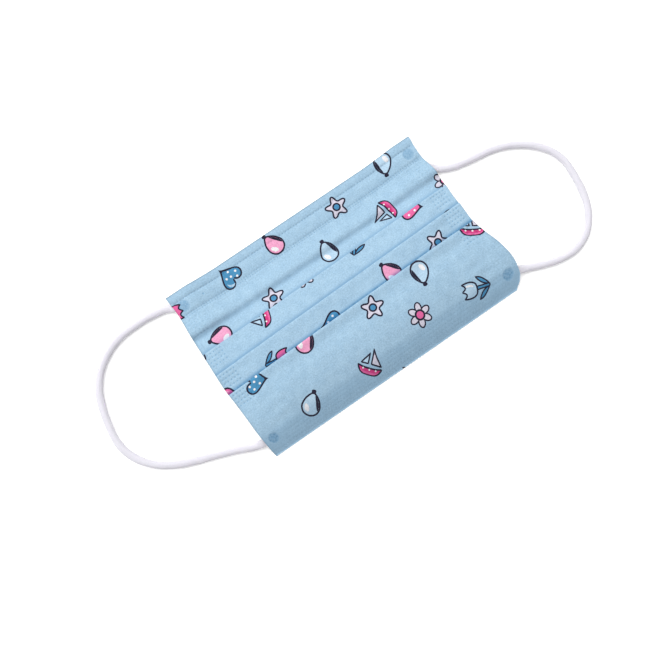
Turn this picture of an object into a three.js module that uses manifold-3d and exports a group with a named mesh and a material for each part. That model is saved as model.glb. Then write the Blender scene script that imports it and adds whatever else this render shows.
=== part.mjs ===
// A child's pleated face mask, lying on a flat surface with its outer side up, and its two ear loops laid
// beside it. Millimetres. X runs from side to side, +Y points to the nose edge and +Z up. The surface is Z = 0.
import * as THREE from 'three';
import { mergeVertices } from 'three/addons/utils/BufferGeometryUtils.js';
import Module from 'manifold-3d';

const wasm = await Module();
wasm.setup();

// Driving dimensions of the panel
const panelLength = 147;          // side edge to side edge, where the side edges are straight
const panelDepth = 95;            // nose edge to chin edge, with the pleats closed
const clothWall = 1;              // all plies of the cloth together
const layerGap = 0.25;            // air between two layers of a pleat
const tuckDepth = 9;              // how far each pleat reaches under the next panel
const archRise = 10.4;            // height of the underside at the top of the arch
const settleLength = 11;          // the stretch past the last pleat where the chin panel settles on the arch
const channelSwell = 0.5;         // how far the hem stands up over its nose channel
const bandWidth = 8.4;            // width of a welded side band
const bandMargin = 2.2;           // from a side edge to its welded band

// Driving dimensions of the ear loops
const cordDiameter = 3.6;
const cordSides = 8;
const cordSteps = 42;
const pressedDiameter = 5;        // the pressed end of a loop
const pressedThickness = 1.2;
const pressedInset = 5;           // centre of a pressed end to the side edge
const pressedSetback = 8;         // centre of a pressed end to the nose edge or chin edge
const pieceGap = 0.3;             // air between two pieces that touch

// The loops run under the nose corners, which rest on them
const floorGap = 0.05;
const cornerRise = floorGap + cordDiameter + pieceGap;

// The fold edges of the three pleats, as shares of the panel's depth from the nose edge. They run a little
// askew, so each has a place at the left side and one at the right side.
const PLEATS = [
  { name: 'nose pleat', left: 0.365, right: 0.337 },
  { name: 'middle pleat', left: 0.497, right: 0.460 },
  { name: 'chin pleat', left: 0.616, right: 0.579 },
];

// The underside's height across the panel, as shares of the depth and of the arch's rise
const ARCH = [
  { depth: 0.000, height: 0.00 },
  { depth: 0.137, height: 0.00 },
  { depth: 0.210, height: 0.14 },
  { depth: 0.275, height: 0.29 },
  { depth: 0.347, height: 0.47 },
  { depth: 0.420, height: 0.64 },
  { depth: 0.530, height: 0.83 },
  { depth: 0.630, height: 0.95 },
  { depth: 0.720, height: 1.00 },
  { depth: 0.800, height: 0.96 },
  { depth: 0.870, height: 0.80 },
  { depth: 0.920, height: 0.57 },
  { depth: 0.960, height: 0.31 },
  { depth: 1.000, height: 0.00 },
];

// How the underside changes along the panel, as shares of half its length from the middle: how much of the
// arch is left, and how much of the corner rise has come
const ALONG = [
  { out: 0.00, arch: 1.00, rise: 0.00 },
  { out: 0.60, arch: 1.00, rise: 0.00 },
  { out: 0.74, arch: 0.97, rise: 0.42 },
  { out: 0.88, arch: 0.92, rise: 1.00 },
  { out: 1.00, arch: 0.90, rise: 1.00 },
];

// How the corner rise fades from the nose edge to the middle of the panel, as shares of the depth
const RISE_FADE = [
  { depth: 0.00, share: 1.0 },
  { depth: 0.14, share: 1.0 },
  { depth: 0.40, share: 0.4 },
  { depth: 0.66, share: 0.0 },
  { depth: 1.00, share: 0.0 },
];

// Soft ribs and valleys of the nose panel, as shares of the depth and of the arch's rise
const RIBS = [
  { name: 'rib behind the hem', depth: 0.195, half: 0.040, height: 0.07 },
  { name: 'valley before the first pleat', depth: 0.275, half: 0.045, height: -0.10 },
];

// The nose channel's profile on top of the hem: shares of the depth and of its swell
const CHANNEL = [
  { depth: 0.000, swell: 0.25 },
  { depth: 0.025, swell: 0.60 },
  { depth: 0.048, swell: 0.00 },
  { depth: 0.070, swell: 0.85 },
  { depth: 0.095, swell: 1.00 },
  { depth: 0.118, swell: 0.80 },
  { depth: 0.137, swell: 0.00 },
  { depth: 1.000, swell: 0.00 },
];

// How far each side edge stands out past the straight panel: shares of the depth and of the length. Towards
// the chin the right end spreads into a rounded corner.
const SIDE_EDGES = [
  { depth: 0.00, left: 0.001, right: 0.000 },
  { depth: 0.10, left: -0.003, right: -0.006 },
  { depth: 0.26, left: 0.003, right: 0.003 },
  { depth: 0.42, left: 0.006, right: -0.004 },
  { depth: 0.58, left: 0.009, right: -0.003 },
  { depth: 0.66, left: 0.006, right: 0.008 },
  { depth: 0.76, left: 0.003, right: 0.028 },
  { depth: 0.86, left: 0.001, right: 0.038 },
  { depth: 0.93, left: -0.003, right: 0.033 },
  { depth: 0.97, left: -0.006, right: 0.018 },
  { depth: 1.00, left: -0.009, right: -0.004 },
];
const SPREAD_START = 0.45;        // share of half the length where an end starts to spread

// Where sections stand, as shares of half the length from the middle
const STATIONS = [0, 0.2, 0.4, 0.6, 0.67, 0.74, 0.81, 0.88, 0.94, 1];

// Where a side band's weld starts and ends in a pleat, as shares of the tuck from its fold edge
const WELD_SPAN = [0.27, 0.73];

// The hand-laid routes of the ear loops, from under the nose corner to under the chin corner
const LEFT_ROUTE = [
  [-73.1, 40.9, 1.85], [-77.6, 43.2, 1.85], [-86.0, 44.8, 1.85], [-96.5, 45.2, 1.85], [-106.8, 44.2, 1.85],
  [-115.8, 40.4, 1.85], [-123.4, 34.2, 1.85], [-128.4, 27.0, 1.85], [-131.4, 19.0, 1.85],
  [-133.2, 11.0, 1.85], [-134.2, 3.2, 1.85], [-133.2, -4.4, 1.85], [-129.8, -11.8, 1.85],
  [-124.0, -18.4, 1.85], [-116.4, -23.4, 1.85], [-107.0, -27.4, 1.85], [-97.0, -31.0, 1.85],
  [-87.2, -34.8, 1.85], [-80.2, -37.8, 2.1], [-73.6, -39.4, 2.85],
];
const RIGHT_ROUTE = [
  [67.6, 37.0, 1.85], [69.8, 31.8, 1.85], [73.8, 26.2, 1.85], [79.8, 22.6, 1.85], [87.6, 20.6, 1.85],
  [96.0, 19.4, 1.85], [104.2, 17.8, 1.85], [112.8, 14.2, 1.85], [121.2, 8.2, 1.85], [127.0, 0.8, 1.85],
  [129.6, -7.4, 1.85], [129.2, -16.0, 1.85], [127.8, -24.6, 1.85], [125.0, -33.0, 1.85],
  [120.2, -40.2, 1.85], [113.6, -45.2, 1.85], [105.8, -47.6, 1.85], [97.6, -47.2, 1.85],
  [90.0, -45.0, 1.85], [83.4, -42.4, 1.95], [79.0, -40.8, 2.3], [74.6, -39.6, 2.85],
];

const clothBlue = new THREE.MeshStandardMaterial({ color: 0xa9d3ea, roughness: 0.9, metalness: 0 });
const elasticWhite = new THREE.MeshStandardMaterial({ color: 0xf4f2f6, roughness: 0.85, metalness: 0 });

const halfLength = panelLength / 2;
const layerPitch = clothWall + layerGap;
const bendRadius = layerPitch / 2;

// The value of a column at a place in a table, on a smooth curve that never overshoots its rows
function read(table, key, place, column) {
  const last = table.length - 1;
  if (place <= table[0][key]) return table[0][column];
  if (place >= table[last][key]) return table[last][column];
  const i = table.findIndex((row) => row[key] > place) - 1;
  const slope = (k) => (table[k + 1][column] - table[k][column]) / (table[k + 1][key] - table[k][key]);
  const tangent = (k) => {
    if (k === 0 || k === last) return 0;
    const before = slope(k - 1);
    const after = slope(k);
    return before * after > 0 ? (2 * before * after) / (before + after) : 0;
  };
  const width = table[i + 1][key] - table[i][key];
  const t = (place - table[i][key]) / width;
  const a = table[i][column];
  const b = table[i + 1][column];
  return (
    a * (2 * t ** 3 - 3 * t ** 2 + 1) + width * tangent(i) * (t ** 3 - 2 * t ** 2 + t)
    + b * (3 * t ** 2 - 2 * t ** 3) + width * tangent(i + 1) * (t ** 3 - t ** 2)
  );
}

// The widest that a side edge stands out, found along the panel's depth
function widest(side) {
  return Math.max(...SIDE_EDGES.map((row) => row[side])) * panelLength;
}

const middleShift = (widest('left') - widest('right')) / 2;

// X of the place at a share of half the length (-1 left edge, 1 right edge) and a distance from the nose edge
function sideways(share, depth) {
  const side = share < 0 ? 'left' : 'right';
  const spread = Math.max(0, (Math.abs(share) - SPREAD_START) / (1 - SPREAD_START)) ** 2;
  const outward = read(SIDE_EDGES, 'depth', depth / panelDepth, side) * panelLength * spread;
  return share * halfLength + Math.sign(share) * outward + middleShift;
}

function ribs(depth) {
  return RIBS.reduce((sum, rib) => {
    const away = Math.abs(depth / panelDepth - rib.depth) / rib.half;
    return away < 1 ? sum + rib.height * archRise * 0.5 * (1 + Math.cos(Math.PI * away)) : sum;
  }, 0);
}

// Height of the panel's underside
function underside(share, depth) {
  const out = Math.abs(share);
  const part = depth / panelDepth;
  const arch = archRise * read(ARCH, 'depth', part, 'height') * read(ALONG, 'out', out, 'arch');
  const rise = cornerRise * read(ALONG, 'out', out, 'rise') * read(RISE_FADE, 'depth', part, 'share');
  return arch + rise + ribs(depth);
}

// The lift of one layer above the underside, on straight lines between its knots
function liftOn(knots, depth) {
  const after = Math.max(1, knots.findIndex((knot) => knot.depth >= depth));
  const a = knots[after - 1];
  const b = knots[after];
  const t = Math.min(1, Math.max(0, (depth - a.depth) / (b.depth - a.depth)));
  return a.lift + t * (b.lift - a.lift);
}

// Where the fold edges lie at a share of half the length, from the nose edge
function foldEdges(share) {
  return PLEATS.map((row) => panelDepth * (row.left + (row.right - row.left) * (share + 1) / 2));
}

// The knots of each panel that shows: how high it lies where it starts at its fold edge, over the pleat
// below it, and at its own end under the next panel
function panelKnots(share) {
  const panels = [[{ depth: 0, lift: 0 }, { depth: foldEdges(share)[0] + tuckDepth, lift: 0 }]];
  foldEdges(share).forEach((fold, k, folds) => {
    const top = liftOn(panels[k], fold) + 2 * layerPitch;
    const knots = [{ depth: fold, lift: top }, { depth: fold + tuckDepth + bendRadius, lift: 2 * layerPitch }];
    if (k + 1 < folds.length) {
      knots.push({ depth: folds[k + 1] + tuckDepth, lift: 0 });
    } else {
      knots.push({ depth: fold + tuckDepth + settleLength, lift: 0 }, { depth: panelDepth, lift: 0 });
    }
    panels.push(knots);
  });
  return panels;
}

// The middle line of the cloth in one section, from the nose edge through every fold to the chin edge
function middleLine(share) {
  const folds = foldEdges(share);
  const panels = panelKnots(share);
  const inset = bendRadius + clothWall / 2;
  const line = [];
  const add = (depth, lift, swell = 0) => line.push({ depth, lift, swell });
  const bend = (depth, lift, from, turn) => {
    for (let i = 1; i < 4; i += 1) {
      const angle = from + (turn * i) / 4;
      add(depth + bendRadius * Math.cos(angle), lift + bendRadius * (1 + Math.sin(angle)));
    }
  };
  CHANNEL.slice(0, -1).forEach((row) => {
    add(row.depth * panelDepth, 0, row.swell * channelSwell);
  });
  panels.forEach((knots, k) => {
    const start = k === 0 ? line.at(-1).depth : folds[k - 1] + inset;
    const end = k < folds.length ? folds[k] + tuckDepth - inset : panelDepth;
    const steps = k === 0 ? 8 : Math.max(4, Math.round((end - start) / 3));
    for (let i = k === 0 ? 1 : 0; i <= steps; i += 1) {
      const depth = start + ((end - start) * i) / steps;
      add(depth, liftOn(knots, depth));
    }
    if (k < folds.length) {
      const back = folds[k] + inset;
      bend(end, liftOn(knots, end), -Math.PI / 2, Math.PI);
      [end, (end + back) / 2, back].forEach((depth) => add(depth, liftOn(knots, depth) + layerPitch));
      bend(back, liftOn(knots, back) + layerPitch, -Math.PI / 2, -Math.PI);
    }
  });
  return line.map(({ depth, lift, swell }) => ({
    depth,
    height: underside(share, depth) + clothWall / 2 + lift,
    swell,
  }));
}

// A section's outline: half a wall to each side of the middle line, outer side first
function sectionOutline(share) {
  const line = middleLine(share);
  const outer = [];
  const inner = [];
  line.forEach((point, i) => {
    const before = line[Math.max(0, i - 1)];
    const after = line[Math.min(line.length - 1, i + 1)];
    const a = new THREE.Vector2(point.depth - before.depth, point.height - before.height).normalize();
    const b = new THREE.Vector2(after.depth - point.depth, after.height - point.height).normalize();
    const along = a.add(b).normalize();
    const half = clothWall / 2;
    outer.push([point.depth - along.y * half, point.height + along.x * half + point.swell]);
    inner.push([point.depth + along.y * half, point.height - along.x * half]);
  });
  return [...outer, ...inner.reverse()];
}

// A closed mesh through sections in the order of rising X. Each section is a strip: the first half of its
// points runs along one side, and the second half comes back along the other.
function loft(sections) {
  const count = sections[0].length;
  const last = (sections.length - 1) * count;
  const index = [];
  for (let i = 0; i + 1 < sections.length; i += 1) {
    for (let j = 0; j < count; j += 1) {
      const a = i * count + j;
      const b = i * count + ((j + 1) % count);
      index.push(a, b, b + count, a, b + count, a + count);
    }
  }
  for (let j = 0; j + 1 < count / 2; j += 1) {
    const [a, b, c, d] = [j, j + 1, count - 2 - j, count - 1 - j];
    index.push(a, c, b, a, d, c);
    index.push(last + a, last + b, last + c, last + a, last + c, last + d);
  }
  const geometry = new THREE.BufferGeometry();
  geometry.setAttribute('position', new THREE.Float32BufferAttribute(sections.flat(2), 3));
  geometry.setIndex(index);
  return geometry;
}

// A section point in space, from its place along the length, its depth and its height
function place(share, depth, height) {
  return [sideways(share, depth), panelDepth / 2 - depth, height];
}

function toSolid(geometry) {
  const bare = geometry.clone();
  bare.deleteAttribute('normal');
  bare.deleteAttribute('uv');
  const merged = mergeVertices(bare, 1e-5);
  return new wasm.Manifold(new wasm.Mesh({
    numProp: 3,
    vertProperties: new Float32Array(merged.attributes.position.array),
    triVerts: new Uint32Array(merged.index.array),
  }));
}

function toGeometry(solid) {
  const mesh = solid.getMesh();
  const geometry = new THREE.BufferGeometry();
  geometry.setAttribute('position', new THREE.Float32BufferAttribute(mesh.vertProperties, 3));
  geometry.setIndex(Array.from(mesh.triVerts));
  return geometry;
}

// The weld of one pleat in one side band: it fills the gaps from the middle of the lower panel's cloth to
// the middle of the upper one's
function weldBar(k, side) {
  const outer = side * (1 - bandMargin / halfLength);
  const inner = outer - (side * bandWidth) / halfLength;
  const shares = [Math.min(outer, inner), Math.max(outer, inner)];
  return loft(shares.map((share) => {
    const panels = panelKnots(share);
    const fold = foldEdges(share)[k];
    const depths = WELD_SPAN.map((part) => fold + tuckDepth * part);
    const height = (knots, depth) => underside(share, depth) + clothWall / 2 + liftOn(knots, depth);
    const above = depths.map((depth) => place(share, depth, height(panels[k + 1], depth)));
    const below = depths.map((depth) => place(share, depth, height(panels[k], depth)));
    return [...above, ...below.reverse()];
  }));
}

function pleatedPanel() {
  const shares = [...STATIONS.slice(1).map((share) => -share).reverse(), ...STATIONS];
  const sections = shares.map((share) => (
    sectionOutline(share).map(([depth, height]) => place(share, depth, height))
  ));
  let solid = toSolid(loft(sections));
  PLEATS.forEach((row, k) => {
    [-1, 1].forEach((side) => {
      solid = solid.add(toSolid(weldBar(k, side)));
    });
  });
  const mesh = new THREE.Mesh(toGeometry(solid), clothBlue);
  mesh.name = 'pleated_panel';
  return mesh;
}

// A loop's pressed end: a disc that lies against the underside of the cloth
function pressedEnd(name, side, depth) {
  const share = side * (1 - pressedInset / halfLength);
  const step = pressedDiameter / 2;
  const slope = (underside(share, depth + step) - underside(share, depth - step)) / (2 * step);
  const tilt = -Math.atan(slope);
  const down = pieceGap + pressedThickness / 2;
  const disc = new THREE.CylinderGeometry(pressedDiameter / 2, pressedDiameter / 2, pressedThickness, 16);
  const mesh = new THREE.Mesh(disc.rotateX(Math.PI / 2), elasticWhite);
  mesh.name = name;
  mesh.rotation.x = tilt;
  mesh.position.set(
    sideways(side, depth) - side * pressedInset,
    panelDepth / 2 - depth + down * Math.sin(tilt),
    underside(share, depth) - down * Math.cos(tilt),
  );
  return mesh;
}

function earLoop(name, route) {
  const path = new THREE.CatmullRomCurve3(route.map((point) => new THREE.Vector3(...point)), false, 'centripetal');
  const section = new THREE.Shape();
  for (let i = 0; i < cordSides; i += 1) {
    const angle = (2 * Math.PI * i) / cordSides;
    const [x, y] = [Math.cos(angle), Math.sin(angle)].map((value) => value * (cordDiameter / 2));
    if (i === 0) section.moveTo(x, y);
    else section.lineTo(x, y);
  }
  section.closePath();
  const tube = new THREE.ExtrudeGeometry(section, { steps: cordSteps, extrudePath: path, bevelEnabled: false });
  const mesh = new THREE.Mesh(tube, elasticWhite);
  mesh.name = name;
  return mesh;
}

const mask = new THREE.Group();
mask.add(
  pleatedPanel(),
  pressedEnd('loop_end_nose_left', -1, pressedSetback),
  pressedEnd('loop_end_nose_right', 1, pressedSetback),
  pressedEnd('loop_end_chin_left', -1, panelDepth - pressedSetback),
  pressedEnd('loop_end_chin_right', 1, panelDepth - pressedSetback),
  earLoop('ear_loop_left', LEFT_ROUTE),
  earLoop('ear_loop_right', RIGHT_ROUTE),
);

export default mask;
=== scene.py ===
"""A child's pleated face mask, lying outer side up on a pale floor, with its two ear loops laid beside it.

Lengths are in millimetres until a mesh is made, and MM turns them into Blender's metres. A place on the
cloth is x, from side to side, and run, along the cloth from the nose edge through every fold to the chin
edge. A share is x as a part of half the length: -1 at the left side edge, 0 in the middle, 1 at the right.
"""
import math
import random

import bmesh
import bpy
import numpy as np
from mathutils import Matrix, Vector
from mathutils.geometry import delaunay_2d_cdt
from mathutils.kdtree import KDTree


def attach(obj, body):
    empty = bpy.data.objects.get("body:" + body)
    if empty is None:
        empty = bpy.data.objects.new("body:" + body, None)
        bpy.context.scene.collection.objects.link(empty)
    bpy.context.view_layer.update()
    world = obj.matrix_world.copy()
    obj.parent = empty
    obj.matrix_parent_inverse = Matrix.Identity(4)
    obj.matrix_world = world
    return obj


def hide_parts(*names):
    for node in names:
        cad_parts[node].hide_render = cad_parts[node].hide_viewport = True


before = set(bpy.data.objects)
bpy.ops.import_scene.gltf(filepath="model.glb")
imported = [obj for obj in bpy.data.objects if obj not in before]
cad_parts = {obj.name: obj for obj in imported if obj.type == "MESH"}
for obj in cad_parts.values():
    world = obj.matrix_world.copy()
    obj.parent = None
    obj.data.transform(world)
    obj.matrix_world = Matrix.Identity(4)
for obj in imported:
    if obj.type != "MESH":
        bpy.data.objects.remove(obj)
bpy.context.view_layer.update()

MM = 0.001

# Camera, from the photograph: 650 pixels square, looking down at the mask from its left chin corner
IMAGE_SIZE = 650
FOCAL_PIXELS = 1200
SENSOR_WIDTH = 36.0
CAMERA_AZIMUTH = math.radians(-34.68)
CAMERA_ELEVATION = math.radians(80.2)
CAMERA_DISTANCE = 595.4
CAMERA_TARGET = Vector((-18.0, -7.6, 0.0))
CAMERA_CLIP = (0.01, 20.0)   # nearest and furthest distance seen, in metres

# The panel and its cloth
PANEL_LENGTH = 147.0         # side edge to side edge, where the side edges are straight
PANEL_DEPTH = 95.0           # nose edge to chin edge, with the pleats closed
CLOTH_WALL = 0.5             # all plies together
FLOOR_CLEARANCE = 0.05       # from the floor to the hem's underside
FLOOR_SOFTNESS = 0.12        # how gently the cloth comes to lie on the floor
LAYER_PITCH = 0.85           # from one layer of a pleat to the next, away from the welds
WELDED_PITCH = 0.62          # the same in the side bands, where the layers are pressed together
BEND_RADIUS = 0.42           # of the cloth's middle line at a fold
TUCK_DEPTH = 9.0             # how far each pleat reaches under the next panel
SETTLE_LENGTH = 17.0         # the stretch past the last pleat where the chin panel settles
FOLD_OPENING = 5.0           # how far in from its fold edge an open pleat closes again
BAND_WIDTH = 9.0             # of a welded side band
BAND_FADE = 9.0              # how far past a side band its hold on the layers fades
WELDED_SHUT = 0.75           # how much of a fold's looseness a side band takes away
LOOSE_MEAN = 0.8             # looseness of a fold between the bands, and how far it varies
LOOSE_SWING = 0.2
LOOSE_WAVES = (4.1, 1.3)     # how dense its waves are on the first fold, and how much denser on each next
LOOSE_PHASE = 1.7            # their shift from one fold to the next
ARCH_RISE = 10.4             # of the panel's middle over the floor
SPREAD_START = 0.45          # share of half the length where an end starts to spread
HALF_LENGTH = PANEL_LENGTH / 2

# The ear loops
CORD_WIDTH = 3.8
CORD_HEIGHT = 3.3
CORD_DIAMETER = 3.6          # of the round cord that has the same thickness
CORD_SETTLES = 0.11          # the soft cord lies this much lower than the round one of the frame
PIECE_GAP = 0.3              # between neighbouring pieces
CORNER_RISE = FLOOR_CLEARANCE + CORD_DIAMETER + PIECE_GAP
CORD_LEVEL = 1.85            # of a loop's middle line, where the loop lies on the floor


def laid(places, *rising):
    """A loop's route at the cord's level, with the points at its chin end that rise to its weld."""
    return [(x, y, CORD_LEVEL) for x, y in places] + list(rising)


# The way of each loop's middle line, from its end at the nose edge to its end at the chin edge
LEFT_ROUTE = laid([
    (-73.1, 40.9), (-77.6, 43.2), (-86.0, 44.8), (-96.5, 45.2), (-106.8, 44.2), (-115.8, 40.4),
    (-123.4, 34.2), (-128.4, 27.0), (-131.4, 19.0), (-133.2, 11.0), (-134.2, 3.2), (-133.2, -4.4),
    (-129.8, -11.8), (-124.0, -18.4), (-116.4, -23.4), (-107.0, -27.4), (-97.0, -31.0), (-87.2, -34.8),
], (-80.2, -37.8, 2.1), (-73.6, -39.4, 2.85))
RIGHT_ROUTE = laid([
    (67.6, 37.0), (69.8, 31.8), (73.8, 26.2), (79.8, 22.6), (87.6, 20.6), (96.0, 19.4), (104.2, 17.8),
    (112.8, 14.2), (121.2, 8.2), (127.0, 0.8), (129.6, -7.4), (129.2, -16.0), (127.8, -24.6),
    (125.0, -33.0), (120.2, -40.2), (113.6, -45.2), (105.8, -47.6), (97.6, -47.2), (90.0, -45.0),
], (83.4, -42.4, 1.95), (79.0, -40.8, 2.3), (74.6, -39.6, 2.85))


def table(columns, *rows):
    """The rows as one array a column, the first column being the place that the others are read at."""
    return dict(zip(columns.split(), np.array(rows, float).T))


# The fold edges of the three pleats, as shares of the depth at the left and right side edges
PLEATS = table(
    "row left right",
    (0, 0.365, 0.337),
    (1, 0.497, 0.460),
    (2, 0.616, 0.579),
)
# The underside's height across the panel, as shares of the depth and of the arch's rise. The row past the
# chin edge keeps the slope up to that edge.
ARCH = table(
    "depth height",
    (0.000, 0.00), (0.137, 0.00), (0.210, 0.14), (0.275, 0.29), (0.347, 0.47), (0.420, 0.64), (0.530, 0.83),
    (0.630, 0.95), (0.720, 1.00), (0.800, 0.96), (0.870, 0.80), (0.920, 0.57), (0.960, 0.31), (1.000, 0.00),
    (1.040, -0.30),
)
# How much of the arch is left and how much of the corner rise has come, from the middle to a side edge
ALONG = table(
    "out arch rise",
    (0.00, 1.00, 0.00), (0.60, 1.00, 0.00), (0.74, 0.97, 0.42), (0.88, 0.92, 1.00), (1.00, 0.90, 1.00),
)
# How the corner rise fades from the nose edge to the middle of the panel, as shares of the depth
RISE_FADE = table("depth share", (0.00, 1.0), (0.14, 1.0), (0.40, 0.4), (0.66, 0.0), (1.00, 0.0))
# How far each side edge stands out past the straight panel: shares of the depth and of the length
SIDE_EDGES = table(
    "depth left right",
    (0.00, 0.001, 0.000), (0.10, -0.003, -0.006), (0.26, 0.003, 0.003), (0.42, 0.006, -0.004),
    (0.58, 0.009, -0.003), (0.66, 0.006, 0.008), (0.76, 0.003, 0.028), (0.86, 0.001, 0.038),
    (0.93, -0.003, 0.033), (0.97, -0.006, 0.018), (1.00, -0.009, -0.004),
)
# The nose panel's channel, weld lines, ribs and valleys, in millimetres from the nose edge and of height
NOSE_RELIEF = table(
    "depth height",
    (0.0, 0.10), (1.8, 0.42), (3.8, 0.32), (5.1, -0.06), (6.1, 0.26), (7.8, 0.50), (9.6, 0.46),
    (11.7, 0.24), (12.9, -0.08), (13.6, -0.08), (14.8, 0.10), (16.2, 0.16), (18.6, 0.62), (20.8, 1.00),
    (22.3, 1.02), (23.6, 0.62), (24.9, -0.45), (26.2, -1.28), (27.2, -1.42), (29.6, -0.70), (32.6, 0.00),
    (36.0, 0.00), (60.0, 0.00),
)
# How far each panel stands up past the fold edge that it starts at, between its welded ends
FOLD_RELIEF = table(
    "past nose middle chin",
    (0.0, 0.28, 0.28, 0.65), (1.0, 0.26, 0.26, 0.60), (2.2, 0.16, 0.16, 0.34), (4.0, 0.03, 0.05, 0.02),
    (5.5, 0.00, 0.00, -0.06), (7.5, 0.00, 0.00, 0.20), (10.0, 0.00, 0.00, 0.46), (16.0, 0.00, 0.00, 0.62),
    (22.0, 0.00, 0.00, 0.72), (27.0, 0.00, 0.00, 0.52), (32.0, 0.00, 0.00, 0.16), (38.0, 0.00, 0.00, 0.00),
)
# How far each panel sinks before the fold edge that covers its end
FOLD_SINK = table(
    "before nose middle chin",
    (0.0, 0.34, 0.40, 0.66), (1.5, 0.22, 0.28, 0.54), (3.0, 0.08, 0.15, 0.37), (4.5, 0.00, 0.06, 0.20),
    (6.5, 0.00, 0.00, 0.06), (8.5, 0.00, 0.00, 0.00),
)
FOLDS = ("nose", "middle", "chin")
# Slow swells of the cloth that keep it from looking machined: height, waves along and across, phase
SWELLS = table(
    "height along across phase",
    (0.16, 2.1, 1.2, 0.4), (0.12, 4.7, -2.0, 1.9), (0.08, 8.3, 3.1, 4.2), (0.05, 14.6, -5.3, 2.6),
    (0.035, 24.0, 9.4, 5.5),
)
SWELL_START = 0.2            # share of the depth over which they rise from the nose edge,
SWELL_END = 0.1              # and over which they fade to the chin edge
# Small puckers beside the welded bands: height, wave length and slant, and where they stand and fade
PUCKER_HEIGHT = 0.11
PUCKER_LENGTH = 6.4
PUCKER_SLANT = 9.0
PUCKER_MIDDLE = 0.80
PUCKER_REACH = 0.15


def read(rows, column, place):
    """A column at places in a table, on a smooth curve that never overshoots its rows."""
    key = rows[next(iter(rows))]
    value = rows[column]
    slope = np.diff(value) / np.diff(key)
    before, after = slope[:-1], slope[1:]
    tangent = np.zeros_like(value)
    turning = before * after <= 0
    tangent[1:-1] = np.where(turning, 0, 2 * before * after / np.where(turning, 1, before + after))
    place = np.clip(place, key[0], key[-1])
    i = np.clip(np.searchsorted(key, place, "right") - 1, 0, len(key) - 2)
    width = key[i + 1] - key[i]
    t = (place - key[i]) / width
    return (
        value[i] * (2 * t**3 - 3 * t**2 + 1) + width * tangent[i] * (t**3 - 2 * t**2 + t)
        + value[i + 1] * (3 * t**2 - 2 * t**3) + width * tangent[i + 1] * (t**3 - t**2)
    )


def smooth_step(t):
    """0 up to t = 0, 1 from t = 1, and a soft rise between."""
    t = np.clip(t, 0, 1)
    return t * t * (3 - 2 * t)


# Puts the outline's middle at x = 0
MIDDLE_SHIFT = (SIDE_EDGES["left"].max() - SIDE_EDGES["right"].max()) * PANEL_LENGTH / 2


def sideways(share, depth):
    """X at a share, and at a distance from the nose edge."""
    spread = np.maximum(0, (np.abs(share) - SPREAD_START) / (1 - SPREAD_START)) ** 2
    part = depth / PANEL_DEPTH
    outward = np.where(share < 0, read(SIDE_EDGES, "left", part), read(SIDE_EDGES, "right", part))
    return share * HALF_LENGTH + np.sign(share) * outward * PANEL_LENGTH * spread + MIDDLE_SHIFT


def underside(share, depth):
    """Height of the panel's underside: the arch, and the rise of the corners over the loops' ends."""
    out, part = np.abs(share), depth / PANEL_DEPTH
    arch = ARCH_RISE * read(ARCH, "height", part) * read(ALONG, "arch", out)
    rise = CORNER_RISE * read(ALONG, "rise", out) * read(RISE_FADE, "share", part)
    return arch + rise


def welded(share):
    """1 in the welded side bands, 0 in the open middle."""
    return smooth_step((np.abs(share) * HALF_LENGTH - (HALF_LENGTH - BAND_WIDTH - BAND_FADE)) / BAND_FADE)


def pitch(share):
    """Height from one layer of a pleat to the next."""
    return LAYER_PITCH + (WELDED_PITCH - LAYER_PITCH) * welded(share)


def fold_edge(k, share):
    """Distance from the nose edge to fold edge k."""
    left, right = PLEATS["left"][k], PLEATS["right"][k]
    return PANEL_DEPTH * (left + (right - left) * (share + 1) / 2)


def pressed_lift(k, share, depth):
    """Lift of panel k, which starts at fold edge k - 1, above the underside with all pleats shut."""
    if k == 0:
        return np.zeros_like(depth)
    fold = fold_edge(k - 1, share)
    top = pressed_lift(k - 1, share, fold) + 2 * pitch(share)
    rest = 2 * pitch(share)
    tuck_end = fold + TUCK_DEPTH
    settled = fold_edge(k, share) + TUCK_DEPTH if k < 3 else tuck_end + SETTLE_LENGTH
    near = top + (rest - top) * np.clip((depth - fold) / TUCK_DEPTH, 0, 1)
    far = rest * (1 - smooth_step((depth - tuck_end) / (settled - tuck_end)))
    return np.where(depth < tuck_end, near, far)


def looseness(k, share):
    """How far fold k has sprung open there: little in the welded bands, and uneven between them."""
    first, denser = LOOSE_WAVES
    wave = LOOSE_MEAN + LOOSE_SWING * np.sin(share * (first + denser * k) + LOOSE_PHASE * k)
    return wave * (1 - WELDED_SHUT * welded(share))


def panel_relief(k, share, depth):
    """How far the panel past fold edge k stands up."""
    return read(FOLD_RELIEF, FOLDS[k], depth - fold_edge(k, share)) * looseness(k, share)


def panel_sink(k, share, depth):
    """How far the panel before fold edge k sinks."""
    return read(FOLD_SINK, FOLDS[k], fold_edge(k, share) - depth) * looseness(k, share)


def panel_lift(k, share, depth):
    """Lift of panel k above the underside, with its folds sprung open."""
    lift = pressed_lift(k, share, depth)
    if k > 0:
        lift = lift + panel_relief(k - 1, share, depth)
    if k < 3:
        lift = lift - panel_sink(k, share, depth)
    return lift


def back_lift(k, share, depth):
    """Lift of the layer that runs back from pleat k's tuck to its fold edge, and rises with the edge."""
    edge = fold_edge(k, share)
    opening = panel_relief(k, share, edge) + panel_sink(k, share, edge)
    near = 1 - smooth_step((depth - edge) / FOLD_OPENING)
    return panel_lift(k, share, depth) + pitch(share) + opening * near


# The legs of one section, in order: forward over the panel, round the tuck's end, back, round the fold edge
INSET = BEND_RADIUS + CLOTH_WALL / 2
LEGS = []
for k in range(4):
    LEGS.append(("forward", k))
    if k < 3:
        LEGS += [("tuck end", k), ("back", k), ("fold", k)]


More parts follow.
